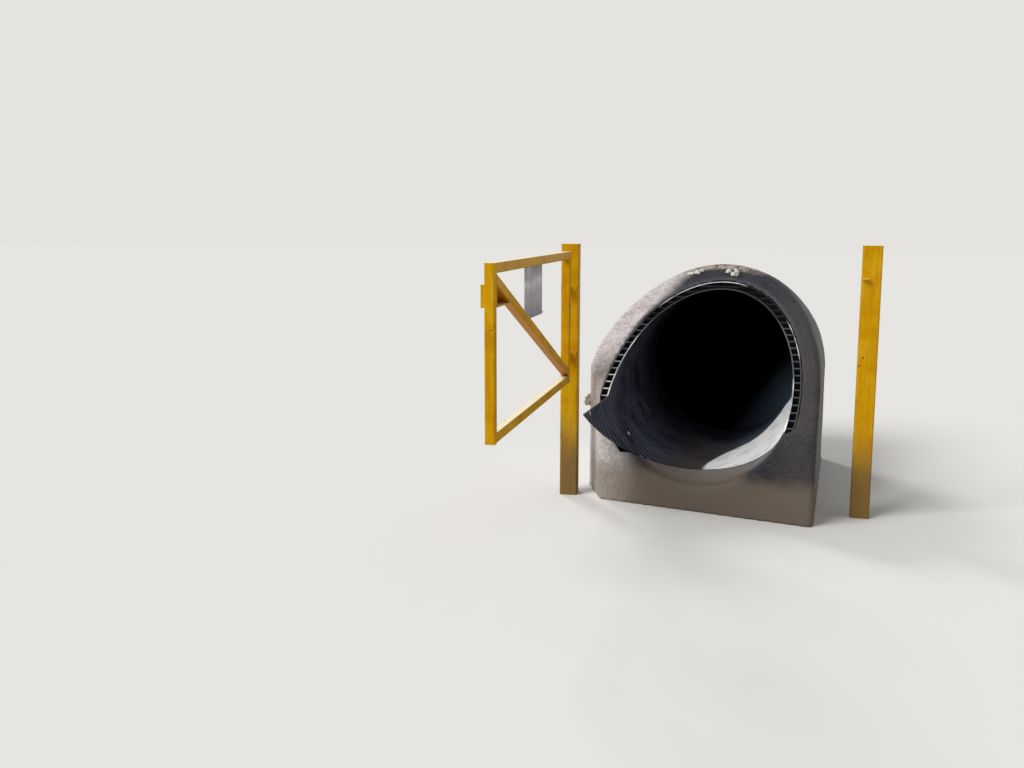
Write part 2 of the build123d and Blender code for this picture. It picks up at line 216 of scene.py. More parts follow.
def makeConcrete(name, look):
    material, tree, shader, place = newMaterial(name)
    parts = addNode(tree, "SeparateXYZ", links={0: place})
    noises = []
    for size, detail, roughness in ((look["mottleSize"], 5.0, 0.62), (look["blotchSize"], 6.0, 0.7),
                                    (look["sandSize"], 3.0, 0.8), (look["grainSize"], 1.0, 0.5)):
        noises.append(addNode(tree, "TexNoise", {"Scale": perMetre(size), "Detail": detail,
                                                 "Roughness": roughness}, {"Vector": place}))
    mottle, blotch, sand, grains = noises
    # painted sunlight on the left to painted tree shade on the right, with a dappled border that slants high up
    drift = addNode(tree, "Math", {1: look["patchDrift"]}, {0: mottle}, operation="MULTIPLY")
    fromPipe = addNode(tree, "Mapping", {"Location": (0, 0, -pipeAxisZ), "Scale": (1, 0, 1)}, {0: place})
    ring = addNode(tree, "VectorMath", links={0: fromPipe}, operation="LENGTH")
    high = addNode(tree, "MapRange", between(look["slantHeights"]), {"Value": parts.outputs["Z"]})
    outward = addNode(tree, "MapRange", {**between(look["slantRadii"]), "To Max": look["slantBy"]},
                      {"Value": ring})
    slant = addNode(tree, "Math", links={0: outward, 1: high, 2: drift}, operation="MULTIPLY_ADD")
    across = addNode(tree, "Math", links={0: parts.outputs["X"], 1: slant}, operation="ADD")
    paintedShade = addNode(tree, "MapRange", between(look["sunShadeBorder"]), {"Value": across},
                   interpolation_type="SMOOTHSTEP")
    tones = []
    for key, end in (("sunlit", 0.62), ("paintedShade", 0.68), ("paintedShadeSides", 0.68)):
        tones.append(addNode(tree, "ValToRGB", links={0: blotch},
                             stops=[(0.32, look[key][0]), (end, look[key][1])]))
    sunlitTone, shadeTone, sideShadeTone = tones
    # the painted shade is less dark towards the right
    rightward = addNode(tree, "MapRange", {**between(look["rightward"]), "To Max": 0.5},
                        {"Value": parts.outputs["X"]})
    shadeTone = addNode(tree, "Mix", {over: look["paintedShadeRight"]}, {0: rightward, under: shadeTone})
    # the painted shade is lighter on the sides than on the sloping cut and the toe
    depths = []
    for normal, offset in ((-slopeNormal, slopeOffset), ((toeTurn, 1, 0), toeAt)):
        depth = addNode(tree, "VectorMath", {1: normal}, {0: place}, operation="DOT_PRODUCT")
        depths.append(addNode(tree, "Math", {1: offset}, {0: depth}, operation="ADD"))
    faceDepth = addNode(tree, "Math", links={0: depths[0], 1: depths[1]}, operation="MINIMUM")
    faceDepth = addNode(tree, "Math", {1: look["sideDrift"]}, {0: mottle, 2: faceDepth},
                        operation="MULTIPLY_ADD")
    onSide = addNode(tree, "MapRange", between(look["sideDepths"]), {"Value": faceDepth},
                     interpolation_type="SMOOTHSTEP")
    shadeTone = addNode(tree, "Mix", links={0: onSide, under: shadeTone, over: sideShadeTone})
    last = addNode(tree, "Mix", links={0: paintedShade, under: sunlitTone, over: shadeTone})
    # clouds, then sand, then single grains that show most where it is painted sunlit
    for texture, stops in ((mottle, [(0.3, 0.36), (0.7, 0.62)]), (sand, [(0.32, 0.34), (0.68, 0.68)])):
        tone = addNode(tree, "ValToRGB", links={0: texture}, stops=stops)
        last = addNode(tree, "Mix", {0: 0.6}, {under: last, over: tone}, blend_type="OVERLAY")
    grainMask = addNode(tree, "MapRange", {**between(look["grainMask"]), "To Max": 0.8}, {"Value": grains})
    inSun = addNode(tree, "MapRange", {"To Min": 1.0, "To Max": look["grainInShade"]}, {"Value": paintedShade})
    grainShare = addNode(tree, "Math", links={0: grainMask, 1: inSun}, operation="MULTIPLY")
    last = addNode(tree, "Mix", {over: look["grain"]}, {0: grainShare, under: last})
    # dust that slides down the bank and rests along the crown's upper edge
    fromMiddle = addNode(tree, "Mapping", {"Location": look["crownMiddle"], "Scale": (1, 0, 1)}, {0: place})
    radius = addNode(tree, "VectorMath", links={0: fromMiddle}, operation="LENGTH")
    rim = addNode(tree, "MapRange", between(look["dustRadii"]), {"Value": radius})
    upper = addNode(tree, "MapRange", between(look["dustHeights"]), {"Value": parts.outputs["Z"]})
    dustPatch = addNode(tree, "MapRange", between(look["dustMask"]), {"Value": blotch})
    onRim = addNode(tree, "Math", links={0: rim, 1: upper}, operation="MULTIPLY")
    dustShare = addNode(tree, "Math", links={0: onRim, 1: dustPatch}, operation="MULTIPLY")
    last = addNode(tree, "Mix", {over: look["dust"]}, {0: dustShare, under: last})
    # painted shade in a strip close to the pipe's edge, high up, where the sun grazes
    ringEdge = addNode(tree, "Math", {1: look["rimShadeDrift"]}, {0: blotch, 2: ring}, operation="MULTIPLY_ADD")
    close = addNode(tree, "MapRange", {**between(look["rimShadeRadii"]), "To Min": 0.9, "To Max": 0.0},
                    {"Value": ringEdge}, interpolation_type="SMOOTHSTEP")
    rimShadeShare = addNode(tree, "Math", links={0: close, 1: high}, operation="MULTIPLY")
    last = addNode(tree, "Mix", {over: look["rimShade"]}, {0: rimShadeShare, under: last})
    # pits that air bubbles leave, in about a third of the cells, darkened in colour as painted shade
    cells = addNode(tree, "TexVoronoi", {"Scale": perMetre(look["pitSpacing"])}, {"Vector": place})
    cellDraw = addNode(tree, "SeparateColor", links={0: cells.outputs["Color"]})
    chosen = addNode(tree, "Math", {1: look["pitsLeftOut"]}, {0: cellDraw}, operation="GREATER_THAN")
    hole = addNode(tree, "MapRange", {**between(look["pitRadii"]), "To Min": 1.0, "To Max": 0.0},
                   {"Value": cells})
    pits = addNode(tree, "Math", links={0: hole, 1: chosen}, operation="MULTIPLY")
    last = addNode(tree, "Mix", {over: look["pitShade"]}, {0: pits, under: last})
    # silt film that the water leaves below its line, on the front only
    wander = addNode(tree, "Math", {1: look["siltDrift"]}, {0: mottle}, operation="MULTIPLY")
    height = addNode(tree, "Math", links={0: parts.outputs["Z"], 1: wander}, operation="SUBTRACT")
    siltEnds = [look["waterline"] - below for below in look["siltBelow"]]
    wet = addNode(tree, "MapRange", {**between(siltEnds), "To Min": 0.7, "To Max": 0.0}, {"Value": height},
                  interpolation_type="SMOOTHSTEP")
    inFront = addNode(tree, "MapRange", between(look["siltFrontY"]), {"Value": parts.outputs["Y"]})
    siltShare = addNode(tree, "Math", links={0: wet, 1: inFront}, operation="MULTIPLY")
    last = addNode(tree, "Mix", {over: look["silt"]}, {0: siltShare, under: last})
    rough = addNode(tree, "MapRange", {"To Min": 0.78, "To Max": 0.97}, {"Value": blotch})
    relief = addNode(tree, "Math", {1: look["sandRelief"]}, {0: sand}, operation="MULTIPLY")
    for source, rise in ((blotch, look["blotchRelief"]), (pits, -look["pitDepth"])):
        relief = addNode(tree, "Math", {1: rise}, {0: source, 2: relief}, operation="MULTIPLY_ADD")
    shadeWith(tree, shader, last, rough, relief, 0.9)
    shader.inputs["IOR"].default_value = 1.5
    shader.inputs["Specular IOR Level"].default_value = 0.25
    return material


# black polyethylene: extruded in one long strip and wound; waxy and blue-black, greyed by dust,
# pale where it was sawn, with painted sunlight and shade on the cut and a painted sun highlight inside the lip
plasticLook = {
    "fresh": "#171A27",
    "dusty": "#323649",
    "scuff": "#5D6069",
    "rib": "#7C808C",
    "grooveShade": "#0B0B0E",
    "deepShade": "#050506",
    "cell": "#08080A",
    "sawn": ("#9C9C9F", "#E4E3E1"),
    "sawnShaded": "#4E5056",
    "sawnCrownShade": "#0B0B0E",
    "skyReflection": "#4A5566",
    "sunHighlight": ("#DDDFE1", "#FFFFFD"),
    "silt": "#4C4335",
    "filmSize": 310,
    "scuffSize": 22,
    "scuffMask": (0.6, 0.74),
    "ringPitch": 95,
    "finePitch": 23.75,
    "rubbedMask": (0.36, 0.6),
    "deepShadeDepths": (-0.3, 1.3),
    "sawnSize": 130,
    "sawnDepth": 0.0048,
    "aboveCrease": (0.004, 0.016),
    "rightHalf": (0.18, 0.24),
    "underCrownShade": (1.44, 1.5),
    "ribRelief": 0.0022,
    "grooveDepth": 0.0011,
    "scuffRelief": 0.0006,
}


def makePolyethylene(name, look, sunlitStretches, isLiner=False):  # sunlitStretches: middle and half height of the cut's painted sunlit stretch, left and right
    material, tree, shader, place = newMaterial(name)
    parts = addNode(tree, "SeparateXYZ", links={0: place})
    xPart, yPart, zPart = (parts.outputs[axis] for axis in "XYZ")
    # scuffs run along the pipe, the way that gravel travels
    drawn = addNode(tree, "Mapping", {"Scale": (1.0, 0.06, 1.0)}, {"Vector": place})
    noises = []
    for size, detail, roughness, vector in ((look["filmSize"], 5.0, 0.65, place),
                                            (look["scuffSize"], 4.0, 0.75, drawn),
                                            (look["sawnSize"], 4.0, 0.5, place)):
        noises.append(addNode(tree, "TexNoise", {"Scale": perMetre(size), "Detail": detail,
                                                 "Roughness": roughness}, {"Vector": vector}))
    film, scuff, sawnTone = noises
    base = addNode(tree, "ValToRGB", links={0: film}, stops=[(0.35, look["fresh"]), (0.68, look["dusty"])])
    scuffMask = addNode(tree, "MapRange", {**between(look["scuffMask"]), "To Max": 0.4}, {"Value": scuff})
    last = addNode(tree, "Mix", {over: look["scuff"]}, {0: scuffMask, under: base})
    # ring lines of the winding: a rubbed rib at every web, finer grooves between, darkened as painted shade
    rings = []
    for pitch, width in ((look["ringPitch"], 0.2), (look["finePitch"], 0.3)):
        phase = addNode(tree, "Math", {1: perMetre(pitch)}, {0: yPart}, operation="MULTIPLY")
        saw = addNode(tree, "Math", {1: 0.5}, {0: phase}, operation="PINGPONG")
        rings.append(addNode(tree, "MapRange", {"From Max": width, "To Min": 1.0, "To Max": 0.0},
                             {"Value": saw}, interpolation_type="SMOOTHSTEP"))
    rubbed = addNode(tree, "MapRange", {**between(look["rubbedMask"]), "To Max": 0.8}, {"Value": film})
    ribMask = addNode(tree, "Math", links={0: rings[0], 1: rubbed}, operation="MULTIPLY")
    last = addNode(tree, "Mix", {over: look["rib"]}, {0: ribMask, under: last})
    grooveShadeMask = addNode(tree, "Math", {1: 0.35}, {0: rings[1]}, operation="MULTIPLY")
    last = addNode(tree, "Mix", {over: look["grooveShade"]}, {0: grooveShadeMask, under: last})
    if isLiner:  # painted shade: darker towards the back, where no light reaches
        deeper = addNode(tree, "MapRange", {**between(look["deepShadeDepths"]), "To Max": 0.8}, {"Value": yPart},
                         interpolation_type="SMOOTHSTEP")
        last = addNode(tree, "Mix", {over: look["deepShade"]}, {0: deeper, under: last})
    # sawn edge along the sloping cut, above the crease
    depth = addNode(tree, "VectorMath", {1: -slopeNormal}, {0: place}, operation="DOT_PRODUCT")
    behindCut = addNode(tree, "Math", {1: slopeOffset}, {0: depth}, operation="ADD")
    sawnDepth = look["sawnDepth"]
    edge = addNode(tree, "MapRange", {**between((sawnDepth * 0.7, sawnDepth)), "To Min": 1.0, "To Max": 0.0},
                   {"Value": behindCut})
    overCrease = addNode(tree, "VectorMath", {1: (creaseFall, 0, 1)}, {0: place}, operation="DOT_PRODUCT")
    onSlope = addNode(tree, "MapRange", between([creaseZ + rise for rise in look["aboveCrease"]]),
                      {"Value": overCrease})
    sawn = addNode(tree, "Math", links={0: edge, 1: onSlope}, operation="MULTIPLY")
    if not isLiner:  # inside the cells no light is left
        inCell = addNode(tree, "MapRange", between((sawnDepth, sawnDepth * 1.6)), {"Value": behindCut})
        last = addNode(tree, "Mix", {over: look["cell"]}, {0: inCell, under: last})
    # the cut is pale as painted sunlight in a stretch on either side, dull as painted shade elsewhere and black as
    # painted shade under the crown's overhang
    stretches = []
    for middle, half in sunlitStretches:
        away = addNode(tree, "Math", {1: middle}, {0: zPart}, operation="SUBTRACT")
        away = addNode(tree, "Math", links={0: away}, operation="ABSOLUTE")
        stretches.append(addNode(tree, "MapRange", {**between((half, half + 0.05)), "To Min": 1.0,
                                                    "To Max": 0.0}, {"Value": away}))
    rightHalf = addNode(tree, "MapRange", between(look["rightHalf"]), {"Value": xPart})
    inSunlitStretch = addNode(tree, "MapRange", links={"Value": rightHalf, "To Min": stretches[0],
                                               "To Max": stretches[1]})
    underCrownShade = addNode(tree, "MapRange", between(look["underCrownShade"]), {"Value": zPart})
    dull = addNode(tree, "Mix", {under: look["sawnShaded"], over: look["sawnCrownShade"]}, {0: underCrownShade})
    pale = addNode(tree, "ValToRGB", links={0: sawnTone},
                   stops=[(0.34, look["sawn"][0]), (0.52, look["sawn"][1])])
    cutColor = addNode(tree, "Mix", links={0: inSunlitStretch, under: dull, over: pale})
    last = addNode(tree, "Mix", links={0: sawn, under: last, over: cutColor})
    if isLiner:
        last = addLinerMarks(tree, look, place, (xPart, yPart, zPart), last, sawnTone)
    gloss = addNode(tree, "MapRange", {"To Min": 0.36, "To Max": 0.62}, {"Value": film})
    relief = addNode(tree, "Math", {1: look["ribRelief"]}, {0: rings[0]}, operation="MULTIPLY")
    for source, rise in ((rings[1], -look["grooveDepth"]), (scuff, look["scuffRelief"])):
        relief = addNode(tree, "Math", {1: rise}, {0: source, 2: relief}, operation="MULTIPLY_ADD")
    shadeWith(tree, shader, last, gloss, relief, 1.0)
    shader.inputs["IOR"].default_value = 1.54
    shader.inputs["Specular IOR Level"].default_value = 0.3 if isLiner else 0.08
    return material


# marks inside the lip: silt along the lowest line, a painted sun highlight band on the right, painted highlight
# spots on the left
linerMarks = {
    "siltHeights": (0.29, 0.38),
    "siltDrift": 0.12,
    "siltShallow": (0.9, -0.5),
    "bandEdge": (17.56, -15.09, 5.514, -0.43),  # y where the band ends, a polynomial of x
    "bandFade": (-0.06, 0.05),
    "bandTop": (0.80, 0.85),
    "bandLeft": (-0.01, 0.03),
    "reflectionReach": (0.0, 0.8),
    "reflectionRight": (0.1, 0.3),
    "reflectionHeights": (1.2, 0.7),
    "spotDrift": 0.08,
    "highlightSpots": [((-0.756, -1.719, 0.885), 0.020), ((-0.627, -0.786, 0.549), 0.020),
              ((-0.440, -0.979, 0.360), 0.055), ((-0.392, -0.930, 0.328), 0.060),
              ((-0.489, -1.046, 0.397), 0.035)],
}


def addLinerMarks(tree, look, place, parts, last, tone):
    xPart, yPart, zPart = parts
    siltEdge = addNode(tree, "Math", {1: linerMarks["siltDrift"]}, {0: tone, 2: zPart},
                       operation="MULTIPLY_ADD")
    silt = addNode(tree, "MapRange", {**between(linerMarks["siltHeights"]), "To Min": 0.6, "To Max": 0.0},
                   {"Value": siltEdge})
    shallow = addNode(tree, "MapRange", between(linerMarks["siltShallow"]), {"Value": yPart})
    siltShare = addNode(tree, "Math", links={0: silt, 1: shallow}, operation="MULTIPLY")
    last = addNode(tree, "Mix", {over: look["silt"]}, {0: siltShare, under: last})
    # the painted sun highlight band
    reach = addNode(tree, "Math", {0: 0.0, 1: 0.0, 2: linerMarks["bandEdge"][0]}, operation="MULTIPLY_ADD")
    for factor in linerMarks["bandEdge"][1:]:
        reach = addNode(tree, "Math", {2: factor}, {0: reach, 1: xPart}, operation="MULTIPLY_ADD")
    behind = addNode(tree, "Math", links={0: yPart, 1: reach}, operation="SUBTRACT")
    inBand = addNode(tree, "MapRange", {**between(linerMarks["bandFade"]), "To Min": 1.0, "To Max": 0.0},
                     {"Value": behind}, interpolation_type="SMOOTHSTEP")
    low = addNode(tree, "MapRange", {**between(linerMarks["bandTop"]), "To Min": 1.0, "To Max": 0.0},
                  {"Value": zPart})
    right = addNode(tree, "MapRange", between(linerMarks["bandLeft"]), {"Value": xPart})
    lowRight = addNode(tree, "Math", links={0: low, 1: right}, operation="MULTIPLY")
    mask = addNode(tree, "Math", links={0: inBand, 1: lowRight}, operation="MULTIPLY")
    # painted highlight spots on the left of the lip
    for centre, spotReach in linerMarks["highlightSpots"]:
        away = addNode(tree, "VectorMath", {1: centre}, {0: place}, operation="DISTANCE")
        wobble = addNode(tree, "Math", {1: linerMarks["spotDrift"]}, {0: tone, 2: away},
                         operation="MULTIPLY_ADD")
        spot = addNode(tree, "MapRange", {**between((spotReach * 0.6 + 0.04, spotReach + 0.045)),
                                          "To Min": 0.75, "To Max": 0.0}, {"Value": wobble})
        mask = addNode(tree, "Math", links={0: mask, 1: spot}, operation="MAXIMUM")
    # the wall beyond the band holds a painted blue sky reflection
    skyReflection = addNode(tree, "MapRange", {**between(linerMarks["reflectionReach"]), "To Min": 0.7, "To Max": 0.0},
                    {"Value": behind}, interpolation_type="SMOOTHSTEP")
    for key, part in (("reflectionRight", xPart), ("reflectionHeights", zPart)):
        within = addNode(tree, "MapRange", between(linerMarks[key]), {"Value": part})
        skyReflection = addNode(tree, "Math", links={0: skyReflection, 1: within}, operation="MULTIPLY")
    last = addNode(tree, "Mix", {over: look["skyReflection"]}, {0: skyReflection, under: last})
    sunHighlight = addNode(tree, "ValToRGB", links={0: tone},
                    stops=[(0.34, look["sunHighlight"][0]), (0.5, look["sunHighlight"][1])])
    return addNode(tree, "Mix", links={0: mask, under: last, over: sunHighlight})


# gloss enamel brushed on steel: golden yellow, painted cream highlight on top and painted shade underneath,
# chipped to rust, muddy at the foot
enamelLook = {
    "paint": [(0.32, "#B88200"), (0.5, "#C99600"), (0.7, "#D2A61E")],  # deep to faded
    "coats": [  # what a coat follows, where it starts and is full, its share and its colour
        ("runs", (0.5, 0.36), 0.55, "#B97300"),  # rusty orange run-off in long soft streaks
        ("runs", (0.54, 0.78), 0.45, "#7C5A22"),  # grime between them
        ("facing", (-0.2, -0.6), 0.8, "#AC6C00"),  # painted shade: faces that look down are darker
        ("facing", (0.7, 0.88), 0.7, "#B08A50"),  # painted light: faces that slant upward go tan
        ("facing", (0.955, 0.985), 0.94, "#F6EBCB"),  # painted highlight: level tops go cream
    ],
    "rust": "#6B3A1C",
    "steel": "#4A4540",
    "mud": "#6E5B3C",
    "fadeSize": 260,
    "brushSize": 9,
    "runSize": 48,
    "chipSize": 55,
    "chipAreaSize": 330,
    "rustMask": (0.395, 0.415),
    "chipMask": (0.42, 0.43),
    # two rust spots on the right post, then a painted shade spot in the gate's lower hinge corner
    "rustAndShadeSpots": [((1.301, -0.997, 1.32), 0.009), ((1.274, -0.997, 1.255), 0.008),
                  ((-1.129, -1.1, 1.106), 0.020)],
    "mudDrift": -0.5,
    "brushRelief": 0.0006,
    "rustDepth": 0.0009,
}


def makeEnamel(name, look, mudHeights, turned=False):
    material, tree, shader, place = newMaterial(name)
    still = place
    if turned:  # the gate's own axes, so that brush marks follow its tubes
        shift = addNode(tree, "Mapping", {"Location": (-hinge.x, -hinge.y, 0)}, {"Vector": place})
        place = addNode(tree, "Mapping", {"Rotation": (0, 0, openAngle)}, {"Vector": shift}).outputs[0]
    parts = addNode(tree, "SeparateXYZ", links={0: place})
    long = addNode(tree, "Mapping", {"Scale": (1.0, 1.0, 0.05)}, {"Vector": place})
    hanging = addNode(tree, "Mapping", {"Scale": (1.0, 1.0, 0.12)}, {"Vector": place})
    noises = []
    for size, detail, roughness, vector in ((look["fadeSize"], 4.0, 0.6, place),
                                            (look["brushSize"], 3.0, 0.6, long),
                                            (look["runSize"], 5.0, 0.7, hanging),
                                            (look["chipSize"], 7.0, 0.72, place),
                                            (look["chipAreaSize"], 2.0, 0.5, place)):
        noises.append(addNode(tree, "TexNoise", {"Scale": perMetre(size), "Detail": detail,
                                                 "Roughness": roughness}, {"Vector": vector}))
    fade, brush, runs, chips, chipArea = noises
    paint = addNode(tree, "ValToRGB", links={0: fade}, stops=look["paint"])
    streak = addNode(tree, "ValToRGB", links={0: brush}, stops=[(0.35, 0.42), (0.65, 0.58)])
    last = addNode(tree, "Mix", {0: 0.45}, {under: paint, over: streak}, blend_type="OVERLAY")
    # the last three coats follow which way a face looks: painted light on top, painted shade below
    facing = addNode(tree, "SeparateXYZ", links={0: addNode(tree, "NewGeometry").outputs["Normal"]})
    followed = {"runs": runs, "facing": facing.outputs["Z"]}
    for source, ends, share, color in look["coats"]:
        mask = addNode(tree, "MapRange", {**between(ends), "To Max": share}, {"Value": followed[source]})
        last = addNode(tree, "Mix", {over: color}, {0: mask, under: last})
    # chips down to steel with a rusty rim
    chance = addNode(tree, "Math", links={0: chips, 1: chipArea}, operation="MULTIPLY")
    rustMask = addNode(tree, "MapRange", between(look["rustMask"]), {"Value": chance})
    # the last spot is painted shade where the hinge stile, brace and bottom rail meet; the others are rust
    for centre, reach in look["rustAndShadeSpots"]:
        away = addNode(tree, "VectorMath", {1: centre}, {0: still}, operation="DISTANCE")
        spot = addNode(tree, "MapRange", {**between((reach * 0.6, reach * 1.2)), "To Min": 1.0,
                                          "To Max": 0.0}, {"Value": away})
        rustMask = addNode(tree, "Math", links={0: rustMask, 1: spot}, operation="MAXIMUM")
    chipMask = addNode(tree, "MapRange", between(look["chipMask"]), {"Value": chance})
    last = addNode(tree, "Mix", {over: look["rust"]}, {0: rustMask, under: last})
    last = addNode(tree, "Mix", {over: look["steel"]}, {0: chipMask, under: last})
    # mud that splashed up from the ground
    mudEdge = addNode(tree, "Math", {1: look["mudDrift"]}, {0: runs, 2: parts.outputs["Z"]},
                      operation="MULTIPLY_ADD")
    mud = addNode(tree, "MapRange", {**between(mudHeights), "To Min": 0.85, "To Max": 0.0},
                  {"Value": mudEdge}, interpolation_type="SMOOTHSTEP")
    last = addNode(tree, "Mix", {over: look["mud"]}, {0: mud, under: last})
    dull = addNode(tree, "Math", links={0: rustMask, 1: mud}, operation="MAXIMUM")
    wornGloss = addNode(tree, "MapRange", {"To Min": 0.34, "To Max": 0.5}, {"Value": fade})
    rough = addNode(tree, "MapRange", {"To Max": 0.9}, {"Value": dull, "To Min": wornGloss})
    relief = addNode(tree, "Math", {1: look["brushRelief"]}, {0: brush}, operation="MULTIPLY")
    relief = addNode(tree, "Math", {1: -look["rustDepth"]}, {0: rustMask, 2: relief},
                     operation="MULTIPLY_ADD")
    shadeWith(tree, shader, last, rough, relief, 0.8)
    shader.inputs["IOR"].default_value = 1.5
    shader.inputs["Specular IOR Level"].default_value = 0.06
    return material


# zinc plated steel: dull grey, white and brown corrosion in spots
zincLook = {
    "tones": [(0.24, "#6A4A33"), (0.4, "#B9BABA"), (0.66, "#E6E7E4")],  # brown, zinc, white bloom
    "grainSize": 7,
    "grainRelief": 0.0006,
}


def makeZinc(name, look):
    material, tree, shader, place = newMaterial(name)
    grain = addNode(tree, "TexNoise", {"Scale": perMetre(look["grainSize"]), "Detail": 5.0,
                                       "Roughness": 0.7}, {"Vector": place})
    color = addNode(tree, "ValToRGB", links={0: grain}, stops=look["tones"])
    rough = addNode(tree, "MapRange", {"To Min": 0.6, "To Max": 0.38}, {"Value": grain})
    relief = addNode(tree, "Math", {1: look["grainRelief"]}, {0: grain}, operation="MULTIPLY")
    shadeWith(tree, shader, color, rough, relief, 0.8)
    shader.inputs["Metallic"].default_value = 0.9
    return material


# mill finished aluminium sheet: rolled, dull, streaked by rain, with painted shade of the rail along the top
aluminiumLook = {
    "railShadeByHeight": [(0.0, "#9C9EAA"), (0.3, "#BDBAC0"), (0.5, "#BEBBC0"), (0.66, "#D8D6DA"),
                 (0.8, "#A2A4A6"), (1.0, "#84898A")],
    "heights": (1.698, 2.09),
    "heightDrift": 0.16,
    "bright": "#D4D2D6",
    "brightMask": (0.56, 0.74),
    "stain": "#77767E",
    "stainMask": (0.52, 0.74),
    "rollSize": 3.2,
    "dripSize": 60,
    "cloudSize": 240,
    "rollRelief": 0.0003,
}


def makeAluminium(name, look):
    material, tree, shader, place = newMaterial(name)
    shift = addNode(tree, "Mapping", {"Location": (-hinge.x, -hinge.y, 0)}, {"Vector": place})
    spin = addNode(tree, "Mapping", {"Rotation": (0, 0, openAngle)}, {"Vector": shift})
    parts = addNode(tree, "SeparateXYZ", links={0: spin})
    long = addNode(tree, "Mapping", {"Scale": (0.02, 1.0, 1.0)}, {"Vector": spin})
    hanging = addNode(tree, "Mapping", {"Scale": (1.0, 1.0, 0.1)}, {"Vector": spin})
    noises = []
    for size, detail, roughness, vector in ((look["rollSize"], 3.0, 0.6, long),
                                            (look["dripSize"], 5.0, 0.65, hanging),
                                            (look["cloudSize"], 3.0, 0.5, spin)):
        noises.append(addNode(tree, "TexNoise", {"Scale": perMetre(size), "Detail": detail,
                                                 "Roughness": roughness}, {"Vector": vector}))
    roll, drip, cloud = noises
    drift = look["heightDrift"]
    height = addNode(tree, "Math", {1: drift}, {0: cloud, 2: parts.outputs["Z"]}, operation="MULTIPLY_ADD")
    share = addNode(tree, "MapRange", between([z + drift / 2 for z in look["heights"]]), {"Value": height})
    # painted shade of the rail at the top; lighter in the middle and bluish towards the bottom
    last = addNode(tree, "ValToRGB", links={0: share}, stops=look["railShadeByHeight"])
    for source, ends, most, color in ((cloud, look["brightMask"], 0.6, look["bright"]),
                                      (drip, look["stainMask"], 0.55, look["stain"])):
        mask = addNode(tree, "MapRange", {**between(ends), "To Max": most}, {"Value": source})
        last = addNode(tree, "Mix", {over: color}, {0: mask, under: last})
    rough = addNode(tree, "MapRange", {"To Min": 0.4, "To Max": 0.6}, {"Value": roll})
    relief = addNode(tree, "Math", {1: look["rollRelief"]}, {0: roll}, operation="MULTIPLY")
    shadeWith(tree, shader, last, rough, relief, 0.7)
    shader.inputs["Metallic"].default_value = 0.8
    return material


castConcrete = makeConcrete("castConcrete", concreteLook)
lumpLook = {
    **concreteLook,
    "sunlit": ("#B9B6B2", "#F2EEE8"),
    "paintedShade": ("#A9A6A3", "#EDE9E2"),
    "dust": "#D8D4CE",
    "blotchSize": 26,
    "sandSize": 7,
    "waterline": -1.0,
}
looseMortar = makeConcrete("mortarLumps", lumpLook)
linerPlastic = makePolyethylene("blackPolyethyleneLiner", plasticLook, ((0.9, 0.42), (0.8, 0.25)),
                                isLiner=True)
skinLook = {**plasticLook, "sawn": ("#5E5F63", "#C4C3C2")}
skinPlastic = makePolyethylene("blackPolyethyleneSkin", skinLook, ((1.85, 0.22), (1.36, 0.1)))
webPlastic = makePolyethylene("blackPolyethyleneWebs", plasticLook, ((0.9, 0.28), (-1.0, 0.0)))
postEnamel = makeEnamel("yellowEnamelPosts", enamelLook, (0.0, 0.58))
gateEnamel = makeEnamel("yellowEnamelGate", enamelLook, (-0.5, -0.4), turned=True)  # out of the mud's reach
dullZinc = makeZinc("zincPlatedSteel", zincLook)
millAluminium = makeAluminium("millAluminiumSheet", aluminiumLook)
print("materials:", len(bpy.data.materials))

finishes = {
    "concrete_collar": castConcrete,
    "pipe_liner": linerPlastic,
    "pipe_outer_skin": skinPlastic,
    "pipe_cell_webs": webPlastic,
    "upper_hinge_pin": dullZinc,
    "lower_hinge_pin": dullZinc,
    "sign_plate": millAluminium,
}
gateNodes = frame["record"]["behaviour"]["bodies"]["gate"]
for nodeName, node in nodes.items():
    finish = finishes.get(nodeName, gateEnamel if nodeName in gateNodes else postEnamel)
    node.data.materials.clear()
    node.data.materials.append(finish)


# collar surface: the cast block with the unevenness that a float and rough boards leave
collarShape = {
    "weldDistance": 1e-5,
    "voxel": 0.021,
    "smoothings": 2,
    "waveSize": 0.34,
    "waveDepth": 0.008,
    "lumpSize": 0.075,
    "lumpDepth": 0.004,
    "lumpShift": (7, 3, 5),
    "evenByPipe": 0.004,  # even this close to the pipe
    "growsOver": 0.09,  # and fully uneven that much further out
    "footHeight": 0.02,
    "footShare": 0.2,
    "nicks": [((0.694, 0.455, 1.668), 0.07, 0.022), ((0.767, 0.40, 1.63), 0.05, 0.016),
              ((-0.97, -0.35, 1.27), 0.09, 0.022), ((-0.62, 0.62, 1.75), 0.06, 0.014),
              ((0.965, -0.9, 1.05), 0.08, 0.02), ((0.95, -1.40, 0.62), 0.09, 0.018)],
}


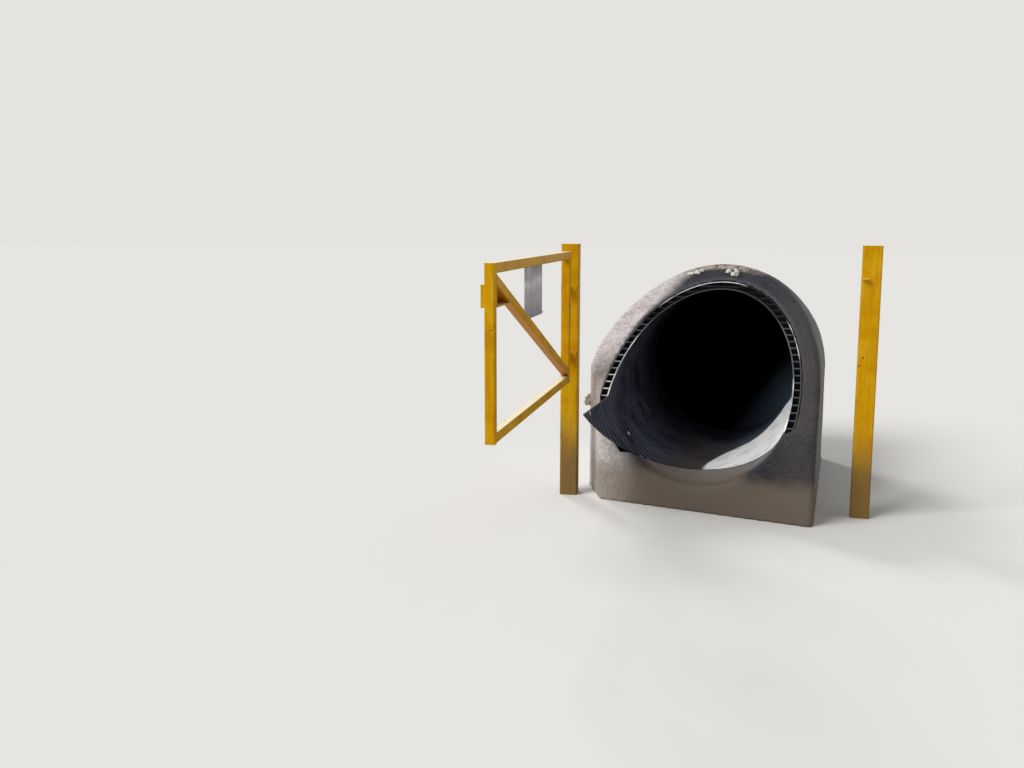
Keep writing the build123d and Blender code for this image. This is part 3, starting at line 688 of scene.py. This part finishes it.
def makeCollarSurface(shape):
    bm = bmesh.new()
    bm.from_mesh(nodes["concrete_collar"].data)
    bmesh.ops.remove_doubles(bm, verts=bm.verts, dist=shape["weldDistance"])
    mesh = bpy.data.meshes.new("collarDraft")
    bm.to_mesh(mesh)
    bm.free()
    draft = bpy.data.objects.new("collarDraft", mesh)
    scene.collection.objects.link(draft)
    remesh = draft.modifiers.new("evenFaces", "REMESH")
    remesh.mode = "VOXEL"
    remesh.voxel_size = shape["voxel"]
    shown = draft.evaluated_get(bpy.context.evaluated_depsgraph_get())
    bm = bmesh.new()
    bm.from_mesh(shown.to_mesh())
    bpy.data.objects.remove(draft)
    for _ in range(shape["smoothings"]):
        bmesh.ops.smooth_vert(bm, verts=bm.verts, factor=0.5,
                              use_axis_x=True, use_axis_y=True, use_axis_z=True)
    bm.normal_update()
    for vert in bm.verts:
        point = vert.co
        fromSkin = math.hypot(point.x, point.z - pipeAxisZ) - skinOuter
        free = min(1.0, max(0.0, (fromSkin - shape["evenByPipe"]) / shape["growsOver"]))
        wave = noise.fractal(point / shape["waveSize"], 1.0, 2.0, 3) * 0.5 + 0.5
        lump = noise.fractal(point / shape["lumpSize"] + Vector(shape["lumpShift"]), 1.0, 2.0, 2) * 0.5 + 0.5
        inward = (wave * shape["waveDepth"] + lump * shape["lumpDepth"]) * free
        for centre, reach, depth in shape["nicks"]:
            near = max(0.0, 1 - (point - Vector(centre)).length / reach)
            inward += depth * near * near * free * (0.6 + lump)
        if point.z < shape["footHeight"]:
            inward *= shape["footShare"]
        vert.co = point - vert.normal * inward
    return finishPiece(bm, "concrete_collar_surface", "headwall", castConcrete)


collarSurface = makeCollarSurface(collarShape)
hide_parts("concrete_collar")
print("collar surface:", len(collarSurface.data.polygons), "faces")


# mortar lumps and small stones that stick out of the crown, and one on the collar's left side
lumpShape = {"subdivisions": 4, "bulge": 0.42, "bulgeScale": 0.8, "standOff": 0.1}
lumps = [  # place, size, flatness, the way the surface faces
    ((0.083, 0.873, 1.876), 0.036, 0.75, slopeNormal),
    ((0.104, 0.905, 1.893), 0.026, 0.75, slopeNormal),
    ((0.023, 0.925, 1.903), 0.030, 0.55, slopeNormal),
    ((0.088, 0.955, 1.918), 0.022, 0.7, slopeNormal),
    ((-0.349, 0.876, 1.879), 0.030, 0.45, slopeNormal),
    ((-0.290, 0.905, 1.893), 0.032, 0.5, slopeNormal),
    ((-0.248, 0.936, 1.909), 0.022, 0.6, slopeNormal),
    ((-1.030, -0.620, 0.800), 0.055, 0.6, Vector((-1, 0, 0))),
]


def makeLumps(shape, places):
    bm = bmesh.new()
    for number, (centre, size, flat, facing) in enumerate(places):
        made = bmesh.ops.create_icosphere(bm, subdivisions=shape["subdivisions"], radius=size)["verts"]
        shift = Vector((number * 3.1, number * 1.7, 0))
        for vert in made:
            bulge = noise.fractal(vert.co / size * shape["bulgeScale"] + shift, 1.0, 2.0, 4)
            vert.co *= 1 + shape["bulge"] * bulge
        bmesh.ops.scale(bm, vec=(1, 1, flat), verts=made)
        bmesh.ops.rotate(bm, cent=(0, 0, 0), matrix=turnTo(facing, (0.3, 0.3 * number, 1)), verts=made)
        bmesh.ops.translate(bm, vec=Vector(centre) + facing * size * shape["standOff"], verts=made)
    return finishPiece(bm, "collar_mortar_lumps", "headwall", looseMortar)


makeLumps(lumpShape, lumps)
print("lumps:", len(lumps))


# weld beads: a row of overlapping drops, as the arc leaves them
weldSettings = {"radius": 0.0045, "pitch": 0.0055, "wobble": 0.16, "wobbleScale": 90, "wobbleStep": 0.7,
                "flatness": 0.9}


def addBead(bm, start, end, radius=weldSettings["radius"]):
    bead = bmesh.new()  # small and apart, because operators slow down as a mesh grows
    run = Vector(end) - Vector(start)
    count = max(2, round(run.length / weldSettings["pitch"]))
    turn = turnTo(run)
    for i in range(count + 1):
        drop = bmesh.ops.create_uvsphere(bead, u_segments=8, v_segments=4, radius=radius)["verts"]
        seed = Vector(start) * weldSettings["wobbleScale"] + Vector((i * weldSettings["wobbleStep"], 0, 0))
        width = 1 + weldSettings["wobble"] * noise.noise(seed)
        bmesh.ops.scale(bead, vec=(width, width, weldSettings["flatness"]), verts=drop)
        bmesh.ops.rotate(bead, cent=(0, 0, 0), matrix=turn, verts=drop)
        bmesh.ops.translate(bead, vec=Vector(start) + run * (i / count), verts=drop)
    carrier = bpy.data.meshes.new("beadDraft")
    bead.to_mesh(carrier)
    bead.free()
    bm.from_mesh(carrier)
    bpy.data.meshes.remove(carrier)


def addLoop(bm, corners, radius=weldSettings["radius"]):
    for first, second in zip(corners, corners[1:] + corners[:1]):
        addBead(bm, first, second, radius)


squareCorners = ((-1, -1), (1, -1), (1, 1), (-1, 1))
gatePlan = {
    "hingeStile": 0.0625,
    "outerStile": 2.63784,
    "topRail": 2.116,
    "bottomRail": 1.065,
    "railInset": 0.004,
    "capInset": 0.003,
    "capBead": 0.0032,
    "braceFoot": (1.100, 1.162),
    "braceInset": 0.002,
    "lockBox": (1.880, 2.012),
    "lockBoxInset": 0.001,
    "barrels": (1.823, 1.253),
    "barrelHeight": 0.034,
    "webThickness": 0.0185,
    "webBead": 0.0035,
}


def makeGateWelds(plan):
    bm = bmesh.new()
    half = tube / 2
    rail = half - plan["railInset"]
    cap = half - plan["capInset"]
    for stile, towards in ((plan["hingeStile"], 1), (plan["outerStile"], -1)):
        face = stile + towards * half
        for z in (plan["topRail"], plan["bottomRail"]):
            addLoop(bm, [onGate(face, a * rail, z + b * rail) for a, b in squareCorners])
        for z in (plan["topRail"] + rail, plan["bottomRail"] - rail):
            addLoop(bm, [onGate(stile + a * cap, b * cap, z) for a, b in squareCorners], plan["capBead"])
    upright = ((plan["hingeStile"] + half, half - plan["braceInset"], plan["braceFoot"]),
               (plan["outerStile"] - half, half - plan["lockBoxInset"], plan["lockBox"]))
    for side in (-1, 1):
        for face, across, (low, high) in upright:
            addBead(bm, onGate(face, side * across, low), onGate(face, side * across, high))
    face = plan["hingeStile"] - half
    rise = plan["barrelHeight"] / 2
    for z in plan["barrels"]:
        for side in (-1, 1):
            across = side * plan["webThickness"] / 2
            addBead(bm, onGate(face, across, z - rise), onGate(face, across, z + rise), plan["webBead"])
    return finishPiece(bm, "gate_frame_welds", "gate", gateEnamel)


makeGateWelds(gatePlan)

postPlan = {
    "size": 0.152,
    "posts": (((-1.12984, -0.921), postTurn), ((1.335, -0.921), 0.0)),
    "front": -0.997,
    "underCap": 2.2035,
    "capInset": 0.0024,
    "capBead": 0.003,
    "plateHalfWidth": 0.065,
    "plateHalfHeight": 0.026,
    "plateFace": 0.096,
    "plates": (1.823, 1.253),
    "plateBead": 0.005,
    "lug": ((1.267, 1.321), 1.948, 0.010),
    "lugBead": 0.004,
}


def makePostWelds(plan):
    bm = bmesh.new()
    for (x, y), turn in plan["posts"]:
        around = Matrix.Rotation(turn, 3, "Z")
        reach = plan["size"] / 2 - plan["capInset"]
        corners = [Vector((x, y, plan["underCap"])) + around @ Vector((a * reach, b * reach, 0))
                   for a, b in squareCorners]
        addLoop(bm, corners, plan["capBead"])
    around = Matrix.Rotation(postTurn, 3, "Z")
    for z in plan["plates"]:
        corners = [Vector((hinge.x, hinge.y, z + b * plan["plateHalfHeight"]))
                   + around @ Vector((a * plan["plateHalfWidth"], plan["plateFace"], 0))
                   for a, b in squareCorners]
        addLoop(bm, corners, plan["plateBead"])
    (left, right), z, thickness = plan["lug"]
    corners = [Vector((x, plan["front"], z + side * thickness / 2))
               for x, side in ((left, -1), (right, -1), (right, 1), (left, 1))]
    addLoop(bm, corners, plan["lugBead"])
    return finishPiece(bm, "post_welds", "headwall", postEnamel)


makePostWelds(postPlan)
print("welds done")


# bolts through the sheet: hex heads on washers along the rail, and on both faces of its lower corners
boltPlan = {
    "washer": (24, 0.015, 0.0025, 0.00125),  # sides, radius, thickness, middle above the sheet
    "head": (6, 0.011, 0.007, 0.006),
    "taper": 0.94,
    "bevel": 0.0006,
    "onRail": ((1.02, 2.106), (1.46, 2.106)),
    "atCorners": ((0.950, 1.714), (1.528, 1.714)),
    "frontOfSheet": -0.035,
    "backOfSheet": -0.032,
}


def addBolt(bm, centre, towards):
    facing = turnTo(towards, (0, 0, 1))
    for segments, radius, thickness, middle in (boltPlan["washer"], boltPlan["head"]):
        made = bmesh.ops.create_cone(bm, cap_ends=True, segments=segments, radius1=radius,
                                     radius2=radius * boltPlan["taper"], depth=thickness)["verts"]
        bmesh.ops.translate(bm, vec=(0, 0, middle), verts=made)
        bmesh.ops.rotate(bm, cent=(0, 0, 0), matrix=facing, verts=made)
        bmesh.ops.translate(bm, vec=centre, verts=made)


def makeSheetBolts(plan):
    bm = bmesh.new()
    for along, z in plan["onRail"] + plan["atCorners"]:
        addBolt(bm, onGate(along, plan["frontOfSheet"], z), -acrossGate)
    for along, z in plan["atCorners"]:
        addBolt(bm, onGate(along, plan["backOfSheet"], z), acrossGate)
    bmesh.ops.bevel(bm, geom=bm.edges, offset=plan["bevel"], offset_type="OFFSET", segments=1, profile=0.5,
                    affect="EDGES", material=-1)
    return finishPiece(bm, "sheet_bolts", "gate", dullZinc, smooth=False)


makeSheetBolts(boltPlan)
print("bolts done")


# floor, a painted shade disc for the unlit depth of the pipe, light and camera
stageLook = {
    "floor": "#E2E1DE",
    "floorSize": 90,
    "background": "#E4E3E0",
    "depthAt": 1.3,
    "depthRadius": 0.767,
    "depthTones": [(0.44, "#030304"), (0.76, "#363F4B")],  # painted shade, black, with a painted blue reflection at the lower right
    "depthTowards": (0.8, 0, -0.55),
}


def addStagePiece(bm, name, material, shader, roughness):
    shader.inputs["Roughness"].default_value = roughness
    shader.inputs["Specular IOR Level"].default_value = 0.0
    mesh = bpy.data.meshes.new(name)
    bm.to_mesh(mesh)
    bm.free()
    mesh.materials.append(material)
    piece = bpy.data.objects.new(name, mesh)
    scene.collection.objects.link(piece)


def makeStage(look):
    bm = bmesh.new()
    bmesh.ops.create_grid(bm, x_segments=1, y_segments=1, size=look["floorSize"])
    material, tree, shader, place = newMaterial("paleFloor")
    shader.inputs["Base Color"].default_value = srgb(look["floor"])
    addStagePiece(bm, "studioFloor", material, shader, 0.95)
    bm = bmesh.new()
    # a black disc inside the pipe as painted shade for its unlit depth
    bmesh.ops.create_circle(bm, cap_ends=True, segments=96, radius=look["depthRadius"])
    bmesh.ops.rotate(bm, cent=(0, 0, 0), matrix=Matrix.Rotation(math.pi / 2, 3, "X"), verts=bm.verts)
    bmesh.ops.translate(bm, vec=(0, look["depthAt"], pipeAxisZ), verts=bm.verts)
    material, tree, shader, place = newMaterial("unlitDepth")
    towards = look["depthTowards"]
    share = addNode(tree, "VectorMath", {1: towards}, {0: place}, operation="DOT_PRODUCT")
    share = addNode(tree, "Math", {1: -towards[2] * pipeAxisZ}, {0: share}, operation="ADD")
    tone = addNode(tree, "ValToRGB", links={0: share}, stops=look["depthTones"])
    tree.links.new(tone.outputs["Color"], shader.inputs["Base Color"])
    addStagePiece(bm, "pipeShadeDisc", material, shader, 1.0)


makeStage(stageLook)

light = {
    "world": 0.4,
    "lamps": {
        "softKey": {"from": (-0.557, 0.633, 0.537), "strength": 1.0, "softness": 14},
        "softFill": {"from": (-0.500, -0.550, 0.670), "strength": 2.2, "softness": 32},
    },
}
world = bpy.data.worlds.new("studio")
scene.world = world
world.use_nodes = True
tree = world.node_tree
sky = tree.nodes["Background"]
sky.inputs["Color"].default_value = (1, 1, 1, 1)
sky.inputs["Strength"].default_value = light["world"]
plain = addNode(tree, "Background", {"Color": stageLook["background"], "Strength": 1.0})
path = addNode(tree, "LightPath")
shown = path.outputs["Is Camera Ray"]
for ray in ("Is Glossy Ray", "Is Transmission Ray"):
    shown = addNode(tree, "Math", links={0: shown, 1: path.outputs[ray]}, operation="MAXIMUM")
mixed = addNode(tree, "MixShader", links={0: shown, 1: sky, 2: plain})
tree.links.new(mixed.outputs["Shader"], tree.nodes["World Output"].inputs["Surface"])
for lampName, settings in light["lamps"].items():
    lamp = bpy.data.lights.new(lampName, "SUN")
    lamp.energy = settings["strength"]
    lamp.angle = math.radians(settings["softness"])
    lampObject = bpy.data.objects.new(lampName, lamp)
    lampObject.rotation_euler = Vector(settings["from"]).to_track_quat("Z", "Y").to_euler()
    scene.collection.objects.link(lampObject)

view = {
    "eye": (1.141, -9.666, 2.385),
    "pitch": -8.83,
    "heading": 17.8,
    "focal": 1036,  # in pixels of the photo, as its width
    "imageWidth": 1024,
    "sensorWidth": 36,
    "farthest": 200,
}
cameraData = bpy.data.cameras.new("photoView")
cameraData.sensor_width = view["sensorWidth"]
cameraData.lens = view["focal"] / view["imageWidth"] * view["sensorWidth"]
cameraData.clip_end = view["farthest"]
camera = bpy.data.objects.new("photoView", cameraData)
camera.location = view["eye"]
camera.rotation_euler = (math.radians(90 + view["pitch"]), 0, math.radians(view["heading"]))
scene.collection.objects.link(camera)
scene.camera = camera
scene.view_settings.view_transform = "Standard"
print("stage, light and camera done")
